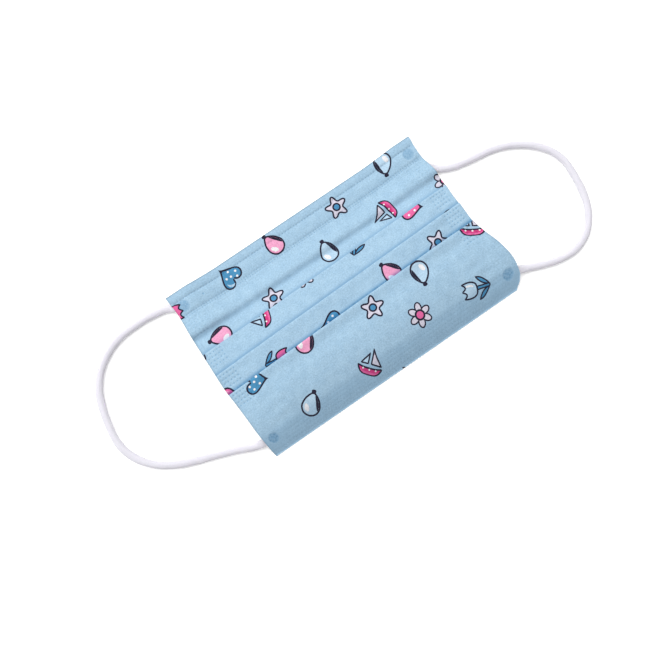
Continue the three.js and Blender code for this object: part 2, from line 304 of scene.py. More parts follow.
def leg_span(k, share):
    """Where panel k's forward leg starts and ends, from the nose edge."""
    start = np.zeros_like(share) if k == 0 else fold_edge(k - 1, share) + INSET
    end = fold_edge(k, share) + TUCK_DEPTH - INSET if k < 3 else np.full_like(share, PANEL_DEPTH)
    return start, end


def leg_length(kind, k):
    """Length of a leg along the cloth, in the middle of the panel."""
    middle = np.zeros(1)
    start, end = leg_span(k, middle)
    if kind == "forward":
        return float((end - start)[0])
    if kind == "back":
        return float((end - fold_edge(k, middle) - INSET)[0])
    return math.pi * BEND_RADIUS


LEG_STARTS = np.concatenate([[0.0], np.cumsum([leg_length(*leg) for leg in LEGS])])
FLAT_DEPTH = float(LEG_STARTS[-1])


def run_at(k, depth):
    """The run of a place on panel k, from its depth in the middle of the panel."""
    start = leg_span(k, np.zeros(1))[0][0]
    return LEG_STARTS[LEGS.index(("forward", k))] + depth - start


def section_line(share, run):
    """(depth, lift) of the cloth's middle line."""
    leg = np.clip(np.searchsorted(LEG_STARTS, run, "right") - 1, 0, len(LEGS) - 1)
    depth, lift = np.zeros_like(run), np.zeros_like(run)
    for i, (kind, k) in enumerate(LEGS):
        here = leg == i
        s = share[here]
        t = np.clip((run[here] - LEG_STARTS[i]) / (LEG_STARTS[i + 1] - LEG_STARTS[i]), 0, 1)
        start, end = leg_span(k, s)
        if kind == "forward":
            d = start + (end - start) * t
            z = panel_lift(k, s, d)
        elif kind == "back":
            back = fold_edge(k, s) + INSET
            d = end + (back - end) * t
            z = back_lift(k, s, d)
        else:
            turn = math.pi * t
            if kind == "tuck end":
                centre, low, side = end, panel_lift(k, s, end), 1
                high = back_lift(k, s, end)
            else:
                centre, side = fold_edge(k, s) + INSET, -1
                low = back_lift(k, s, centre)
                high = panel_lift(k + 1, s, centre)
            d = centre + side * BEND_RADIUS * np.sin(turn)
            z = (low + high) / 2 - (high - low) / 2 * np.cos(turn)
        depth[here], lift[here] = d, z
    return depth, lift


def swells(share, depth):
    """Height of the cloth's slow swells and small puckers."""
    part = depth / PANEL_DEPTH
    total = np.zeros_like(share)
    for height, along, across, phase in zip(*SWELLS.values()):
        total += height * np.sin(math.pi * (along * share + 2 * across * part) + phase)
    beside = smooth_step(1 - np.abs(np.abs(share) - PUCKER_MIDDLE) / PUCKER_REACH)
    total += PUCKER_HEIGHT * beside * np.sin(2 * math.pi * depth / PUCKER_LENGTH + PUCKER_SLANT * share)
    return total * smooth_step(part / SWELL_START) * smooth_step((1 - part) / SWELL_END)


def cloth_middle(share, run):
    """Places on the cloth's middle surface, which never dips below the floor."""
    depth, lift = section_line(share, run)
    height = underside(share, depth) + lift + read(NOSE_RELIEF, "height", depth) + swells(share, depth)
    height = FLOOR_SOFTNESS * np.logaddexp(0, height / FLOOR_SOFTNESS) + FLOOR_CLEARANCE + CLOTH_WALL / 2
    return np.stack([sideways(share, depth), PANEL_DEPTH / 2 - depth, height], axis=1)


SHARE_STEP = 0.004           # to each side of a place, where the cloth's slope is taken there
RUN_STEP = 0.05


def cloth_frame(x, run):
    """(place, outward direction) of the cloth's middle at places on the cloth."""
    share = x / HALF_LENGTH
    across = (cloth_middle(np.clip(share + SHARE_STEP, -1, 1), run)
              - cloth_middle(np.clip(share - SHARE_STEP, -1, 1), run))
    along = (cloth_middle(share, np.clip(run + RUN_STEP, 0, FLAT_DEPTH))
             - cloth_middle(share, np.clip(run - RUN_STEP, 0, FLAT_DEPTH)))
    out = np.cross(along, across)
    return cloth_middle(share, run), out / np.linalg.norm(out, axis=1)[:, None]


# The print: loose motifs with a dark line round them, scattered over the flat cloth before it was folded
INKS = {
    "cloth": (0.312, 0.468, 0.604),
    "navy": (0.016, 0.014, 0.032),
    "deep_pink": (0.560, 0.045, 0.190),
    "pink": (0.660, 0.115, 0.300),
    "light_pink": (0.720, 0.300, 0.470),
    "pale": (0.560, 0.535, 0.620),
    "blue": (0.060, 0.230, 0.410),
    "light_blue": (0.390, 0.540, 0.670),
    "white": (0.740, 0.715, 0.770),
}
INNER_WHITE = (0.86, 0.88, 0.90)
CUT_EDGE = (0.68, 0.80, 0.84)
LINE = 0.85                  # width of a motif's dark line
TIP_SHARE = 0.72             # a moved point nearer to the old outline than this share is left out
SHORTEST_NORMAL = 0.8        # keeps points at a sharp tip from moving too far


def ring(cx, cy, rx, ry, turn, points):
    """An ellipse, turned about its middle."""
    a = np.linspace(0, 2 * math.pi, points, endpoint=False)
    c, s = math.cos(turn), math.sin(turn)
    px, py = rx * np.cos(a), ry * np.sin(a)
    return np.stack([cx + c * px - s * py, cy + s * px + c * py], axis=1)


def blob(points, steps):
    """A smooth closed outline through a few points, with so many steps from one to the next."""
    p = np.array(points, float)
    out = []
    for i in range(len(p)):
        a, b, c, d = (p[(i + j) % len(p)] for j in (-1, 0, 1, 2))
        for t in np.arange(steps) / steps:
            out.append(0.5 * (2 * b + (c - a) * t + (2 * a - 5 * b + 4 * c - d) * t**2
                              + (3 * b - a - 3 * c + d) * t**3))
    return np.array(out)


def inside(outline, x, y):
    """Which points lie in a closed outline."""
    odd = np.zeros(len(x), bool)
    ends = np.roll(outline, -1, axis=0)
    for (ax, ay), (bx, by) in zip(outline, ends):
        if ay == by:
            continue
        crosses = (ay > y) != (by > y)
        odd ^= crosses & (x < ax + (y - ay) * (bx - ax) / (by - ay))
    return odd


def shrink(outline, by):
    """The outline moved inwards, without the points that cross over at a sharp tip."""
    before, after = np.roll(outline, 1, axis=0), np.roll(outline, -1, axis=0)
    area = np.sum(outline[:, 0] * after[:, 1] - outline[:, 1] * after[:, 0])
    a, b = outline - before, after - outline
    a /= np.linalg.norm(a, axis=1)[:, None]
    b /= np.linalg.norm(b, axis=1)[:, None]
    normal = np.stack([-(a + b)[:, 1], (a + b)[:, 0]], axis=1) * (1 if area > 0 else -1)
    normal /= np.maximum(np.linalg.norm(normal, axis=1)[:, None], SHORTEST_NORMAL)
    moved = outline + by * normal
    away = np.linalg.norm(moved[:, None] - outline[None], axis=2).min(axis=1)
    return moved[inside(outline, moved[:, 0], moved[:, 1]) & (away > TIP_SHARE * by)]


def disc(cx, cy, radius, points):
    return ring(cx, cy, radius, radius, 0.0, points)


def outlined(ink, outline, line=LINE):
    """A shape in an ink, with a dark line round it."""
    return [("navy", outline), (ink, shrink(outline, line))]


def spots(ink, places, radius):
    return [(ink, disc(x, y, radius, 10)) for x, y in places]


# The motifs. Each gives its coloured outlines in order, later ones over earlier ones.
HEART_SCALE = 0.40


def heart(main, light):
    t = np.linspace(0, 2 * math.pi, 44, endpoint=False)
    x = 16 * np.sin(t) ** 3
    y = 13 * np.cos(t) - 5 * np.cos(2 * t) - 2 * np.cos(3 * t) - np.cos(4 * t)
    shape = np.stack([x, y], axis=1) * HEART_SCALE
    gleam = blob([(-4.6, 2.4), (-3.4, 3.9), (-1.7, 3.7), (-2.9, 2.9), (-3.9, 1.6), (-4.3, 0.6)], 4)
    return (outlined(main, shape) + [(light, gleam)]
            + spots("white", ((2.1, 2.9), (0.2, 0.4), (3.8, 0.9), (-2.0, -0.9), (1.5, -2.1)), 0.6))


def tulip(main, light):
    stem = blob([(-0.9, 0.0), (0.9, 0.0), (0.95, -3.4), (0.9, -6.6), (0.0, -7.3), (-0.9, -6.6),
                 (-0.95, -3.4)], 4)
    leaf = np.array([(0.2, -7.0), (2.2, -6.0), (4.6, -3.6), (5.3, -1.2), (3.4, -1.9), (1.2, -3.9)])
    head = blob([(-3.5, 0.5), (-4.0, 3.2), (-3.4, 6.0), (-1.6, 4.7), (0.0, 6.4), (1.6, 4.7), (3.4, 6.0),
                 (4.0, 3.2), (3.5, 0.5), (1.8, -1.1), (-1.8, -1.1)], 4)
    gleam = blob([(-2.5, 3.6), (-1.7, 3.8), (-1.5, 1.8), (-1.0, 0.6), (-2.1, 1.2)], 4)
    leaves = outlined("blue", blob(leaf, 4), 0.65) + outlined("blue", blob(leaf * (-1, 1), 4), 0.65)
    return leaves + outlined("blue", stem, 0.6) + outlined(main, head, 0.75) + [(light, gleam)]


def daisy(main, light):
    petals = []
    for i in range(6):
        a = 2 * math.pi * i / 6 + 0.2
        petals.append(ring(3.5 * math.cos(a), 3.5 * math.sin(a), 2.75, 1.95, a, 18))
    out = [("navy", petal) for petal in petals] + [(main, shrink(petal, 0.7)) for petal in petals]
    return out + [("navy", disc(0, 0, 2.7, 18)), (light, disc(0, 0, 1.75, 16))]


def sailboat(main, light):
    hull = blob([(-6.2, -1.2), (-3.0, -1.7), (0.0, -1.8), (3.0, -1.7), (6.2, -1.2), (5.2, -3.9),
                 (3.2, -5.3), (0.0, -5.6), (-3.2, -5.3), (-5.2, -3.9)], 3)
    sail = blob([(0.0, 7.2), (-0.1, 4.0), (-0.1, 0.4), (-0.5, -0.5), (-3.0, -0.6), (-5.6, -0.5),
                 (-5.2, 0.6), (-2.7, 3.6), (-0.7, 6.8)], 3)
    jib = blob([(1.0, 5.2), (2.6, 3.2), (4.6, 0.4), (4.7, -0.5), (2.8, -0.6), (1.0, -0.5), (0.8, 0.6),
                (0.8, 3.0)], 3)
    band = blob([(-4.7, -3.3), (-2.6, -3.9), (0.0, -4.1), (2.6, -3.9), (4.7, -3.3), (3.0, -4.7),
                 (0.0, -5.0), (-3.0, -4.7)], 3)
    return (outlined("pale", sail, 0.75) + outlined("light_blue", jib, 0.75) + outlined(main, hull)
            + [(light, band)] + spots("white", ((-3.2, -2.7), (0.0, -2.9), (3.2, -2.7)), 0.45))


def balloon(main, light):
    knot = blob([(-1.1, -5.3), (0.0, -4.3), (1.1, -5.3), (0.8, -6.4), (-0.8, -6.4)], 3)
    body = blob([(0.0, 6.4), (3.3, 5.2), (4.8, 2.0), (3.8, -1.8), (1.5, -4.6), (0.0, -5.2), (-1.5, -4.6),
                 (-3.8, -1.8), (-4.8, 2.0), (-3.3, 5.2)], 4)
    shade = blob([(3.5, 3.2), (3.9, 1.2), (2.9, -1.6), (1.1, -3.7), (1.9, -1.0), (2.6, 1.4)], 4)
    gleam = ring(-1.8, 2.5, 1.1, 2.0, -0.5, 14)
    return ([("navy", knot)] + outlined(main, body) + [("navy", shade), (light, gleam)]
            + spots("white", ((-2.2, 3.2),), 0.6))


def star(main, light):
    a = np.linspace(0, 2 * math.pi, 50, endpoint=False)
    radius = 4.9 * (1 + 0.27 * np.cos(5 * (a - math.pi / 2)))
    shape = np.stack([radius * np.cos(a), radius * np.sin(a)], axis=1)
    return outlined(main, shape) + [("navy", disc(0, 0, 2.2, 16)), (light, disc(0, 0, 1.35, 14))]


MOTIF_KINDS = [
    (tulip, "pink", "light_pink"), (sailboat, "deep_pink", "pink"), (heart, "blue", "light_blue"),
    (daisy, "pale", "pink"), (balloon, "light_pink", "white"), (tulip, "light_blue", "white"),
    (star, "pale", "blue"), (heart, "pink", "light_pink"), (balloon, "light_blue", "white"),
]
MOTIF_COLUMN = 33.0
MOTIF_ROW = 21.5
MOTIF_JITTER = 3.2
MOTIF_SEED = 5
FIRST_COLUMN = -0.1          # where the first column and row stand, in columns and rows
FIRST_ROW = 0.3


def print_layout():
    """Every motif's coloured outlines on the flat cloth, later ones over earlier ones."""
    chance = random.Random(MOTIF_SEED)
    layers = []
    rows = math.ceil(FLAT_DEPTH / MOTIF_ROW) + 1
    columns = math.ceil(PANEL_LENGTH / MOTIF_COLUMN) + 1
    for row in range(rows):
        for column in range(columns):
            x = -HALF_LENGTH + (column + 0.5 * (row % 2) + FIRST_COLUMN) * MOTIF_COLUMN
            x += chance.uniform(-MOTIF_JITTER, MOTIF_JITTER)
            run = (row + FIRST_ROW) * MOTIF_ROW + chance.uniform(-MOTIF_JITTER, MOTIF_JITTER)
            kind, main, light = MOTIF_KINDS[(row * 4 + column * 2) % len(MOTIF_KINDS)]
            turn = chance.uniform(0, 2 * math.pi)
            c, s = math.cos(turn), math.sin(turn)
            for ink, outline in kind(main, light):
                turned = outline @ np.array([[c, s], [-s, c]]) + (x, run)
                layers.append((ink, turned))
    return layers


# Dots pressed into the side bands stand in columns, counted in from the side edges,
BAND_COLUMNS = 5
BAND_INSET = 2.4
BAND_COLUMN_PITCH = 1.85
LEFT_BAND_OUT = 0.8          # the left columns stand this much further out,
RIGHT_BAND_IN = 0.6          # and the right ones this much further in
# and in rows: the first row's distance past the panel's start, their number, and the dots' radius and push
BAND_ROW_PITCH = 2.1
BAND_ROWS = table(
    "panel first count radius push",
    (1, 1.6, 4, 0.50, 0.20), (2, 1.6, 4, 0.50, 0.20), (3, 1.6, 4, 0.50, 0.20), (0, 15.5, 5, 0.42, 0.10),
)
# Lines of dots along the whole cloth: panel, distance from the nose edge, pitch and shift along the line
WELD_LINES = table(
    "panel depth pitch shift radius push",
    (0, 4.8, 1.7, 0.0, 0.38, 0.16), (0, 12.5, 1.5, 0.0, 0.38, 0.16), (0, 13.5, 1.5, 0.0, 0.38, 0.16),
    (3, 85.5, 1.8, 0.0, 0.26, 0.06), (3, 87.3, 1.8, 0.9, 0.26, 0.06), (3, 89.1, 1.8, 0.0, 0.26, 0.06),
    (3, 90.9, 1.8, 0.9, 0.26, 0.06), (3, 92.7, 1.8, 0.0, 0.26, 0.06),
)
WELD_LINE_INSET = 2.0        # from the side edges
STRAY_WELD = (-57.0, 8.0, 0.7, 0.2)     # x, distance from the nose edge, radius and push of a single dot


def weld_dots():
    """(x, run, radius, push) of every pressed dot that shows."""
    dots = []

    def row(k, depth, xs, radius, push):
        run = run_at(k, depth)
        dots.extend((x, run, radius, push) for x in xs)

    band = [HALF_LENGTH - BAND_INSET - BAND_COLUMN_PITCH * i for i in range(BAND_COLUMNS)]
    columns = [-(x + LEFT_BAND_OUT) for x in band] + [x - RIGHT_BAND_IN for x in band]
    for k, first, count, radius, push in zip(*BAND_ROWS.values()):
        k = int(k)
        start = fold_edge(k - 1, np.zeros(1))[0] if k > 0 else 0.0
        for i in range(int(count)):
            row(k, start + first + BAND_ROW_PITCH * i, columns, radius, push)
    end = HALF_LENGTH - WELD_LINE_INSET
    for k, depth, step, shift, radius, push in zip(*WELD_LINES.values()):
        row(int(k), depth, np.arange(-end + shift, end, step), radius, push)
    x, depth, radius, push = STRAY_WELD
    row(0, depth, [x], radius, push)
    return np.array(dots)


DOT_SLOPE = 0.55             # share of a dot's radius over which its wall slopes
FULL_MARK_PUSH = 0.14        # a dot pushed in this deep is fully marked
DEEPEST_MARK = 1.35
# Ring welds over the loops' pressed ends: side, distance from the nose edge, radius
RING_WELDS = table("side depth radius", (-1, 8.0, 2.6), (1, 8.0, 2.6), (-1, 87.0, 2.2), (1, 87.0, 2.2))
RING_INSET = 5.0             # from the side edge
RING_PUSH = 0.24             # how far the pits are pushed in, and half as far between them
RING_RIM = 0.6
RING_PITCH = 1.9             # of the small pits inside a ring weld
RING_WANDER = 0.38           # how far the pits stray from straight rows, in waves as dense as these
RING_WAVES = (2.1, 1.7)
RING_MARK = 0.75             # how strongly a ring weld is marked, and its pits beyond that
PIT_MARK = 0.95

# Painted shade: how strongly the cloth is darkened in front of the fold edge that covers it, where the edge's
# shadow falls, and how wide
CREASE_SHADE = (1.3, 1.7, 3.0)
CREASE_SHADE_WIDTH = 2.5
# The valley across the nose panel gets painted shade too, darker at its left end
VALLEY_DEPTH = 25.6
VALLEY_WIDTH = 2.6
VALLEY_SHADE = 0.30
VALLEY_SHADE_LEFT = 0.25
# The hem along the chin edge is pressed thin and darkened, partly its own pressed tone and partly painted
# shade on the chin slope: where the darkening starts and how strong it is
HEM_START = 82.0
HEM_FULL = 87.0
HEM_PRESS_AND_SHADE = 0.6


def ring_welds():
    """(x, run, radius) of every ring weld."""
    found = []
    for side, depth, radius in zip(*RING_WELDS.values()):
        k = 0 if depth < PANEL_DEPTH / 2 else 3
        found.append((side * (HALF_LENGTH - RING_INSET), run_at(k, depth), radius))
    return found


def pit_pattern(u, v):
    """1 in the small pits of a ring weld and 0 between them."""
    return smooth_step(0.5 + np.cos(2 * math.pi * u / RING_PITCH) * np.cos(2 * math.pi * v / RING_PITCH))


def press(x, run, dots):
    """How far the outer side is pushed in, and how strongly it is marked, at places on the cloth."""
    depth, mark = np.zeros_like(x), np.zeros_like(x)
    order = np.argsort(run)
    sorted_run = run[order]
    for cx, cr, radius, push in dots:
        a, b = np.searchsorted(sorted_run, (cr - radius, cr + radius))
        near = order[a:b]
        near = near[np.abs(x[near] - cx) < radius]
        away = np.hypot(x[near] - cx, run[near] - cr) / radius
        shape = smooth_step((1 - away) / DOT_SLOPE)
        depth[near] = np.maximum(depth[near], push * shape)
        mark[near] = np.maximum(mark[near], shape * min(DEEPEST_MARK, push / FULL_MARK_PUSH))
    wave_u, wave_v = RING_WAVES
    for cx, cr, radius in ring_welds():
        u, v = x - cx, run - cr
        within = smooth_step((radius + RING_RIM - np.hypot(u, v)) / RING_RIM)
        pits = pit_pattern(u + RING_WANDER * np.sin(wave_u * v), v + RING_WANDER * np.sin(wave_v * u + 1))
        depth = np.maximum(depth, RING_PUSH * within * (0.5 + 0.5 * pits))
        mark = np.maximum(mark, within * (RING_MARK + PIT_MARK * pits))
    return depth, mark


def painted_shade_and_hem(x, run):
    """Painted shade in front of the fold edges that cover the cloth and in the nose valley, and the chin
    hem's darkening, partly its pressed tone and partly painted shade.
    """
    share = x / HALF_LENGTH
    depth, _ = section_line(share, run)
    mark = np.zeros_like(x)
    # painted shade where each fold edge's shadow falls on the panel below
    for k, strength in enumerate(CREASE_SHADE):
        leg = LEGS.index(("forward", k))
        on_panel = (run >= LEG_STARTS[leg]) & (run <= LEG_STARTS[leg + 1])
        before = fold_edge(k, share) - depth
        mark = np.where(on_panel, strength * smooth_step(1 - before / CREASE_SHADE_WIDTH), mark)
    # the chin hem's darkening: its pressed tone, with painted shade on the chin slope
    hem = HEM_PRESS_AND_SHADE * smooth_step((depth - HEM_START) / (HEM_FULL - HEM_START))
    # painted shade in the valley across the nose panel
    in_valley = smooth_step(1 - np.abs(depth - VALLEY_DEPTH) / VALLEY_WIDTH)
    valley = (VALLEY_SHADE - VALLEY_SHADE_LEFT * share) * in_valley
    return np.maximum.reduce([mark, hem, np.maximum(valley, 0)])


# Grid of the outer side
ROW_STEP = 0.95
HIDDEN_STEP = 1.8            # between rows inside a pleat
SHOWN_PAST = 2.0             # how far under a fold edge the close rows go on
BEND_STEPS = 6
COLUMN_STEP = 0.98
GRID_CLEARANCE = 0.38        # a grid point nearer than this to a motif's or weld's outline is left out
DOT_SIDES = 8
DOT_CORE = (0.5, 0.39, 6)    # the inner ring of a dot: share of its radius, turn and points
RING_MESH = 0.4              # between the circles of points in a ring weld,
RING_MESH_SIDE = 0.42        # and between the points on one
BORDER = 1e-3                # a point this near to the flat cloth's edge is on it
MERGED = 1e-4                # points nearer to each other than this become one
SMALLEST_AREA = 1e-9         # twice the area of the smallest triangle that is kept


def grid_rows():
    """The runs of the grid's rows, close together where the cloth shows and at its bends."""
    rows = [0.0]

    def add(end, count):
        rows.extend(np.linspace(rows[-1], end, count + 1)[1:])

    for (kind, k), end in zip(LEGS, LEG_STARTS[1:]):
        if kind == "forward":
            shown = end if k == 3 else run_at(k, fold_edge(k, np.zeros(1))[0]) + SHOWN_PAST
            add(shown, math.ceil((shown - rows[-1]) / ROW_STEP))
        if kind in ("tuck end", "fold"):
            add(end, BEND_STEPS)
        elif rows[-1] < end:
            add(end, math.ceil((end - rows[-1]) / HIDDEN_STEP))
    return np.array(rows)


def triangulate(points, edges):
    """(places, triangles) of a constrained triangulation of the flat cloth's rectangle."""
    verts, _, faces, *_ = delaunay_2d_cdt([Vector(p) for p in points], edges, [], 0, MERGED, False)
    flat = np.array([tuple(v) for v in verts])
    faces = np.array(faces)
    centre = flat[faces].mean(axis=1)
    keep = (np.abs(centre[:, 0]) < HALF_LENGTH) & (centre[:, 1] > 0) & (centre[:, 1] < FLAT_DEPTH)
    a, b, c = (flat[faces[:, i]] for i in range(3))
    twice = (b - a)[:, 0] * (c - a)[:, 1] - (b - a)[:, 1] * (c - a)[:, 0]
    faces = faces[keep & (np.abs(twice) > SMALLEST_AREA)]
    used, faces = np.unique(faces, return_inverse=True)
    flat = np.clip(flat[used], (-HALF_LENGTH, 0), (HALF_LENGTH, FLAT_DEPTH))
    return flat, faces.reshape(-1, 3)


def border_of(flat):
    """The points on the border of the flat cloth, in order round its rectangle."""
    x, run = flat[:, 0], flat[:, 1]
    near, far = run < BORDER, run > FLAT_DEPTH - BORDER
    left, right = x < -HALF_LENGTH + BORDER, x > HALF_LENGTH - BORDER
    key = np.where(near, x + HALF_LENGTH, 0)
    key = np.where(right & ~near, PANEL_LENGTH + run, key)
    key = np.where(far & ~right, PANEL_LENGTH + FLAT_DEPTH + (HALF_LENGTH - x), key)
    key = np.where(left & ~near & ~far, 2 * PANEL_LENGTH + FLAT_DEPTH + (FLAT_DEPTH - run), key)
    picked = np.nonzero(near | far | left | right)[0]
    return picked[np.argsort(key[picked])]


def outer_plan(layers, dots):
    """The flat outer side: its points, triangles and the ink of each triangle."""
    contour, edges = [], []

    def loop(outline):
        start = len(contour)
        contour.extend(map(tuple, outline))
        edges.extend((start + i, start + (i + 1) % len(outline)) for i in range(len(outline)))

    for _, outline in layers:
        x, run = outline[:, 0], outline[:, 1]
        if (np.abs(x) < HALF_LENGTH).any() and (run > 0).any() and (run < FLAT_DEPTH).any():
            loop(outline)
    core, core_turn, core_sides = DOT_CORE
    for cx, cr, radius, _ in dots:
        contour.extend(map(tuple, disc(cx, cr, radius, DOT_SIDES)))
        contour.extend(map(tuple, ring(cx, cr, radius * core, radius * core, core_turn, core_sides)))
        contour.append((cx, cr))
    for cx, cr, radius in ring_welds():
        for part in np.arange(RING_MESH, radius + 2 * RING_RIM, RING_MESH):
            sides = max(6, round(2 * math.pi * part / RING_MESH_SIDE))
            contour.extend(map(tuple, disc(cx, cr, part, sides)))
    tree = KDTree(len(contour))
    for i, (x, run) in enumerate(contour):
        tree.insert((x, run, 0), i)
    tree.balance()
    points = list(contour)
    columns = np.linspace(-HALF_LENGTH, HALF_LENGTH, round(PANEL_LENGTH / COLUMN_STEP) + 1)
    rows = grid_rows()
    for run in rows:
        for x in columns:
            border = abs(x) == HALF_LENGTH or run in (rows[0], rows[-1])
            if border or tree.find((x, run, 0))[2] > GRID_CLEARANCE:
                points.append((x, run))
    start = len(points)
    corner = [(-HALF_LENGTH, 0), (HALF_LENGTH, 0), (HALF_LENGTH, FLAT_DEPTH), (-HALF_LENGTH, FLAT_DEPTH)]
    points.extend(corner)
    edges.extend((start + i, start + (i + 1) % 4) for i in range(4))
    flat, faces = triangulate(points, edges)
    centre = flat[faces].mean(axis=1)
    names = list(INKS)
    ink = np.zeros(len(faces), int)
    for name, outline in layers:
        low, high = outline.min(axis=0), outline.max(axis=0)
        near = np.nonzero(((centre > low) & (centre < high)).all(axis=1))[0]
        hit = near[inside(outline, centre[near, 0], centre[near, 1])]
        ink[hit] = names.index(name)
    return flat, faces, ink


def inner_plan(border):
    """The flat inner side, on the outer side's border points."""
    points = [tuple(p) for p in border]
    edges = [(i, (i + 1) % len(points)) for i in range(len(points))]
    columns = np.linspace(-HALF_LENGTH, HALF_LENGTH, round(PANEL_LENGTH / (2 * COLUMN_STEP)) + 1)[1:-1]
    for run in grid_rows()[1:-1]:
        points.extend((x, run) for x in columns)
    return triangulate(points, edges)


def new_mesh(name, verts, faces, materials, slots=None):
    """A smooth-shaded object of this name, from vertices in millimetres."""
    mesh = bpy.data.meshes.new(name)
    mesh.from_pydata([tuple(v) for v in verts * MM], [], [tuple(int(i) for i in f) for f in faces])
    for material in materials:
        mesh.materials.append(material)
    if slots is not None:
        mesh.polygons.foreach_set("material_index", np.asarray(slots, np.int32))
    mesh.polygons.foreach_set("use_smooth", np.ones(len(mesh.polygons), bool))
    mesh.update()
    obj = bpy.data.objects.new(name, mesh)
    bpy.context.collection.objects.link(obj)
    return obj


UV_PER_MM = 0.01


def add_uv(mesh, flat):
    """The map that the materials' grain is placed by, from each vertex's place on the flat piece."""
    layer = mesh.uv_layers.new(name="cloth")
    corner = np.zeros(len(mesh.loops), np.int32)
    mesh.loops.foreach_get("vertex_index", corner)
    layer.data.foreach_set("uv", (flat[corner] * UV_PER_MM).astype(np.float32).ravel())


# Materials
GRAIN_DARK = 0.48            # how much darker and lighter than its ink the cloth's fibres get
GRAIN_LIGHT = 0.43
CLOUD_SHARE = 0.32           # how strongly the cloth is mottled
MARK_SHARE = 0.85            # how much of the darker tint, for pressed welds and for painted shade, a mark of 1 takes
PRESS_AND_SHADE_TINT = (0.70, 0.78, 0.84)
ELASTIC_DARK = (0.60, 0.585, 0.64, 1)
ELASTIC_LIGHT = (0.72, 0.71, 0.76, 1)


def set_inputs(node, inputs):
    for socket, value in inputs.items():
        node.inputs[socket].default_value = value


def add_node(tree, kind, inputs=None, **settings):
    node = tree.nodes.new(kind)
    for key, value in settings.items():
        setattr(node, key, value)
    set_inputs(node, inputs or {})
    return node


def new_material(name, inputs):
    """(material, its node tree, its shader), with these constant values on the shader's sockets."""
    material = bpy.data.materials.new(name)
    material.use_nodes = True
    shader = material.node_tree.nodes["Principled BSDF"]
    set_inputs(shader, inputs)
    return material, material.node_tree, shader


def add_noise(tree, place, scale, detail, roughness):
    noise = add_node(tree, "ShaderNodeTexNoise", {"Scale": scale, "Detail": detail, "Roughness": roughness})
    tree.links.new(place.outputs["UV"], noise.inputs["Vector"])
    return noise.outputs["Fac"]


def add_bump(tree, shader, first, second, strength, distance):
    """Bump from the sum of two patterns, its distance in metres."""
    height = add_node(tree, "ShaderNodeMath", operation="ADD")
    bump = add_node(tree, "ShaderNodeBump", {"Strength": strength, "Distance": distance})
    tree.links.new(first, height.inputs[0])
    tree.links.new(second, height.inputs[1])
    tree.links.new(height.outputs["Value"], bump.inputs["Height"])
    tree.links.new(bump.outputs["Normal"], shader.inputs["Normal"])


def nonwoven(name, colour):
    """Matt nonwoven cloth: a speckle of fibres, soft clouds, and darker where it is pressed and where shade
    is painted along the fold edges, in the nose valley and on the chin hem.
    """
    material, tree, shader = new_material(name, {
        "Roughness": 0.92, "Specular IOR Level": 0.18, "Sheen Weight": 0.12, "Sheen Roughness": 0.5,
    })
    link = tree.links.new
    place = add_node(tree, "ShaderNodeUVMap", uv_map="cloth")
    fibre = add_noise(tree, place, scale=130.0, detail=4.0, roughness=0.7)
    cloud = add_noise(tree, place, scale=22.0, detail=4.0, roughness=0.65)
    fleck = add_noise(tree, place, scale=95.0, detail=2.0, roughness=0.5)
    dark = tuple(c * (1 - GRAIN_DARK) for c in colour) + (1,)
    light = tuple(min(1, c * (1 + GRAIN_LIGHT)) for c in colour) + (1,)
    speckle = add_node(tree, "ShaderNodeMix", data_type="RGBA")
    set_inputs(speckle, {"A": dark, "B": light})
    link(fibre, speckle.inputs["Factor"])
    soft = add_node(tree, "ShaderNodeMix", {"Factor": CLOUD_SHARE}, data_type="RGBA", blend_type="SOFT_LIGHT")
    link(speckle.outputs["Result"], soft.inputs["A"])
    link(cloud, soft.inputs["B"])
    # The pressed mark darkens the colour at the pressed welds, and as painted shade along the fold edges, in
    # the nose valley and on the chin hem
    mark = add_node(tree, "ShaderNodeAttribute", attribute_name="pressed")
    scale = add_node(tree, "ShaderNodeMath", {1: MARK_SHARE}, operation="MULTIPLY")
    pressed = add_node(tree, "ShaderNodeMix", data_type="RGBA", clamp_factor=False)
    set_inputs(pressed, {"B": tuple(c * f for c, f in zip(colour, PRESS_AND_SHADE_TINT)) + (1,)})
    link(mark.outputs["Fac"], scale.inputs[0])
    link(scale.outputs["Value"], pressed.inputs["Factor"])
    link(soft.outputs["Result"], pressed.inputs["A"])
    link(pressed.outputs["Result"], shader.inputs["Base Color"])
    add_bump(tree, shader, fibre, fleck, strength=0.35, distance=0.00012)
    return material


def elastic(name):
    """Soft white knitted elastic, with a lilac cast in its grain."""
    material, tree, shader = new_material(name, {
        "Roughness": 0.85, "Specular IOR Level": 0.2, "Sheen Weight": 0.25, "Sheen Roughness": 0.45,
        "Subsurface Weight": 0.6, "Subsurface Radius": (1.0, 0.95, 1.0), "Subsurface Scale": 0.0022,
    })
    link = tree.links.new
    place = add_node(tree, "ShaderNodeUVMap", uv_map="cloth")
    fibre = add_noise(tree, place, scale=160.0, detail=3.0, roughness=0.6)
    tint = add_node(tree, "ShaderNodeMix", data_type="RGBA")
    set_inputs(tint, {"A": ELASTIC_DARK, "B": ELASTIC_LIGHT})
    link(fibre, tint.inputs["Factor"])
    link(tint.outputs["Result"], shader.inputs["Base Color"])
    stitch = add_node(tree, "ShaderNodeTexWave", {"Scale": 55.0, "Distortion": 1.2, "Detail": 1.0},
                      bands_direction="DIAGONAL")
    link(place.outputs["UV"], stitch.inputs["Vector"])
    add_bump(tree, shader, stitch.outputs["Fac"], fibre, strength=0.4, distance=0.00015)
    return material


